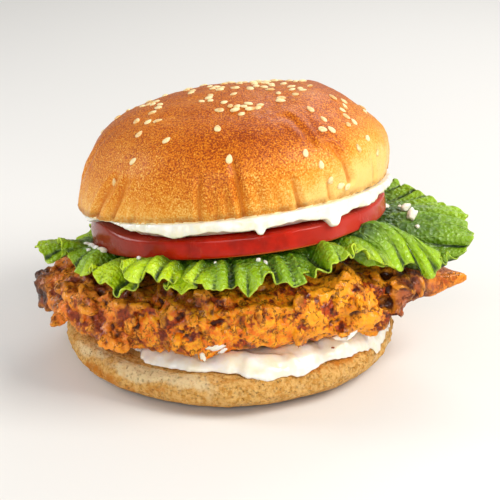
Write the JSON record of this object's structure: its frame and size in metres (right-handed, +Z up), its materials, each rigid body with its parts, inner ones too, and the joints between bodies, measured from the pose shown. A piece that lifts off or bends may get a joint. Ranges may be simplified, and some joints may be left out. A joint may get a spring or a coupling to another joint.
{
  "type": "chicken burger",
  "caption": "Chicken burger: a seeded soft bun split round mayonnaise, a fried chicken fillet, frilled lettuce and a thick tomato slice, leaning back as one pile.",
  "frame": {"origin": "centre of the underside of the box round the whole burger, on the surface it stands on", "axes": "+Z up from the flat bottom of the bun; +X along the fillet's length, towards its thin tip; the top half leans towards +Y"},
  "size_m": [0.153, 0.1204, 0.0963],
  "materials": {
    "bun_bottom": "porous bread crumb, toasted golden at its edges",
    "bun_crust": "baked golden brown crust with a soft gloss",
    "mayonnaise": "wet off-white",
    "fried_chicken": "craggy fried batter, oily sheen",
    "lettuce": "veined leaf, waxy sheen",
    "tomato": "wet skin and cut flesh"
  },
  "bodies": {
    "root": {"bun_bottom": "bun_bottom", "sauce_bottom": "mayonnaise", "chicken": "fried_chicken", "lettuce_front": "lettuce", "lettuce_right": "lettuce", "tomato": "tomato", "sauce_top": "mayonnaise", "bun_top": "bun_crust"}
  },
  "joints": []
}
